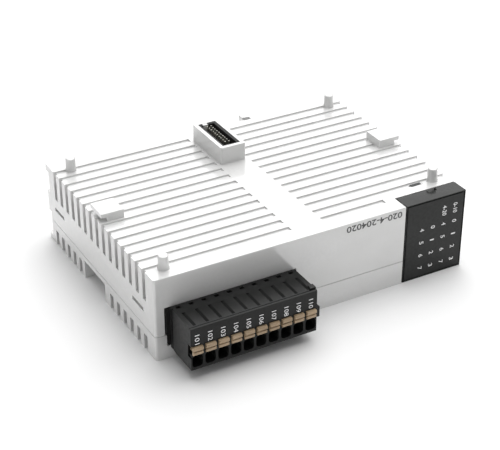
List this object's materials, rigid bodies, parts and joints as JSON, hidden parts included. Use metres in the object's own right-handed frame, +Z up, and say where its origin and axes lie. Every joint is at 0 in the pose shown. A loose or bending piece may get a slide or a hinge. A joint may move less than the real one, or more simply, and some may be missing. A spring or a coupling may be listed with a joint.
{
  "type": "plc expansion module",
  "caption": "Slim stacking control module with ribbed housing, pull-off terminal plug with release levers, bus connectors, indicator window and rail latch.",
  "frame": {"origin": "middle of the bounding box's footprint, at the underside that lies on the table", "axes": "+X along the module from the terminal plug's end to the indicator window, +Y from the front with the plug to the back with the rail channel, +Z up through the module's thickness to the bus header"},
  "size_m": [0.1, 0.0882, 0.031],
  "materials": {
    "case_plastic": "light grey moulded ABS, fine satin texture",
    "black_plastic": "black glass-filled polyamide, satin",
    "window_plastic": "smoked polycarbonate, semi-gloss",
    "lever_plastic": "tan moulded polyamide, satin",
    "diffuser_plastic": "milky moulded polycarbonate",
    "board_laminate": "green solder mask over glass epoxy",
    "chip_plastic": "black moulded epoxy",
    "gold_plate": "gold-plated contact strip",
    "tin_plate": "bright tin or zinc plate",
    "spring_steel": "stainless spring steel"
  },
  "bodies": {
    "module": {"upper_case": "case_plastic", "lower_case": "case_plastic", "din_latch_spring": "spring_steel", "indicator_window": "window_plastic", "light_guide": "diffuser_plastic", "indicator_board": "board_laminate", "main_board": "board_laminate", "board_screw_1": "tin_plate", "board_screw_2": "tin_plate", "bus_header": "black_plastic", "bus_socket": "black_plastic", "bus_pins_left": "gold_plate", "bus_pins_right": "gold_plate", "bus_contacts_left": "gold_plate", "bus_contacts_right": "gold_plate", "microcontroller": "chip_plastic", "input_converter": "chip_plastic", "output_converter": "chip_plastic", "signal_isolator": "chip_plastic", "power_converter": "chip_plastic", "bulk_capacitor_1": "tin_plate", "bulk_capacitor_2": "tin_plate", "filter_coil": "chip_plastic", "indicator_link": "black_plastic", "terminal_header": "black_plastic", "header_pin_1": "tin_plate", "header_pin_2": "tin_plate", "header_pin_3": "tin_plate", "header_pin_4": "tin_plate", "header_pin_5": "tin_plate", "header_pin_6": "tin_plate", "header_pin_7": "tin_plate", "header_pin_8": "tin_plate", "header_pin_9": "tin_plate", "header_pin_10": "tin_plate"},
    "din_latch": {"din_latch": "case_plastic"},
    "terminal_plug": {"terminal_plug": "black_plastic", "clamp_spring_1": "spring_steel", "clamp_spring_2": "spring_steel", "clamp_spring_3": "spring_steel", "clamp_spring_4": "spring_steel", "clamp_spring_5": "spring_steel", "clamp_spring_6": "spring_steel", "clamp_spring_7": "spring_steel", "clamp_spring_8": "spring_steel", "clamp_spring_9": "spring_steel", "clamp_spring_10": "spring_steel"},
    "release_lever_1": {"release_lever_1": "lever_plastic"},
    "release_lever_2": {"release_lever_2": "lever_plastic"},
    "release_lever_3": {"release_lever_3": "lever_plastic"},
    "release_lever_4": {"release_lever_4": "lever_plastic"},
    "release_lever_5": {"release_lever_5": "lever_plastic"},
    "release_lever_6": {"release_lever_6": "lever_plastic"},
    "release_lever_7": {"release_lever_7": "lever_plastic"},
    "release_lever_8": {"release_lever_8": "lever_plastic"},
    "release_lever_9": {"release_lever_9": "lever_plastic"},
    "release_lever_10": {"release_lever_10": "lever_plastic"}
  },
  "joints": [
    {"name": "din_latch_slide", "type": "slide", "parent": "module", "child": "din_latch", "axis": [-1, 0, 0], "range_m": [0, 0.003], "stiffness_N_per_m": 600, "springref_m": -0.001, "deforming": ["din_latch_spring"]},
    {"name": "terminal_plug_pull", "type": "slide", "parent": "module", "child": "terminal_plug", "axis": [0, -1, 0], "range_m": [0, 0.0125]},
    {"name": "release_lever_1_press", "type": "slide", "parent": "terminal_plug", "child": "release_lever_1", "axis": [0, 1, 0], "range_m": [0, 0.0016], "stiffness_N_per_m": 2500, "springref_m": -0.0008},
    {"name": "release_lever_2_press", "type": "slide", "parent": "terminal_plug", "child": "release_lever_2", "axis": [0, 1, 0], "range_m": [0, 0.0016], "stiffness_N_per_m": 2500, "springref_m": -0.0008},
    {"name": "release_lever_3_press", "type": "slide", "parent": "terminal_plug", "child": "release_lever_3", "axis": [0, 1, 0], "range_m": [0, 0.0016], "stiffness_N_per_m": 2500, "springref_m": -0.0008},
    {"name": "release_lever_4_press", "type": "slide", "parent": "terminal_plug", "child": "release_lever_4", "axis": [0, 1, 0], "range_m": [0, 0.0016], "stiffness_N_per_m": 2500, "springref_m": -0.0008},
    {"name": "release_lever_5_press", "type": "slide", "parent": "terminal_plug", "child": "release_lever_5", "axis": [0, 1, 0], "range_m": [0, 0.0016], "stiffness_N_per_m": 2500, "springref_m": -0.0008},
    {"name": "release_lever_6_press", "type": "slide", "parent": "terminal_plug", "child": "release_lever_6", "axis": [0, 1, 0], "range_m": [0, 0.0016], "stiffness_N_per_m": 2500, "springref_m": -0.0008},
    {"name": "release_lever_7_press", "type": "slide", "parent": "terminal_plug", "child": "release_lever_7", "axis": [0, 1, 0], "range_m": [0, 0.0016], "stiffness_N_per_m": 2500, "springref_m": -0.0008},
    {"name": "release_lever_8_press", "type": "slide", "parent": "terminal_plug", "child": "release_lever_8", "axis": [0, 1, 0], "range_m": [0, 0.0016], "stiffness_N_per_m": 2500, "springref_m": -0.0008},
    {"name": "release_lever_9_press", "type": "slide", "parent": "terminal_plug", "child": "release_lever_9", "axis": [0, 1, 0], "range_m": [0, 0.0016], "stiffness_N_per_m": 2500, "springref_m": -0.0008},
    {"name": "release_lever_10_press", "type": "slide", "parent": "terminal_plug", "child": "release_lever_10", "axis": [0, 1, 0], "range_m": [0, 0.0016], "stiffness_N_per_m": 2500, "springref_m": -0.0008}
  ]
}
